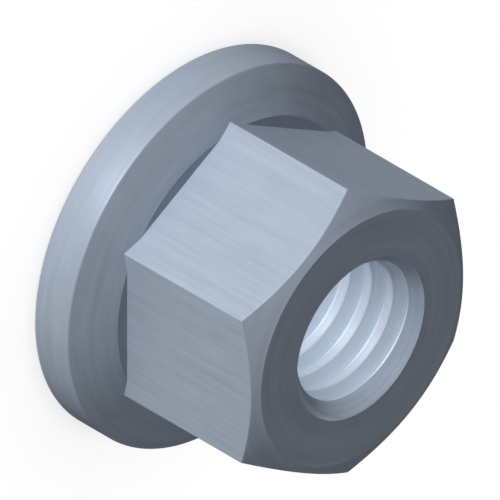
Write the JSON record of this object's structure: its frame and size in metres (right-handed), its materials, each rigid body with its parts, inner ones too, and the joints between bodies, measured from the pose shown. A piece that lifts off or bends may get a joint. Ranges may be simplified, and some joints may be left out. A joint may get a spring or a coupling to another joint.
{
  "type": "flange nut",
  "caption": "Hexagon nut with a chamfered top and a round, coned flange as its own washer, on a coarse metric thread.",
  "frame": {"origin": "middle of the bearing face, on the axis of the thread", "axes": "+Z along the axis of the thread, from the flange to the hexagon's top face; two flats face +X and -X, and two corners point along +Y and -Y"},
  "size_m": [0.0142, 0.0142, 0.0083],
  "materials": {
    "plated_steel": "satin zinc plating with a blue-grey tint"
  },
  "bodies": {
    "root": {"flange_nut": "plated_steel"}
  },
  "joints": []
}
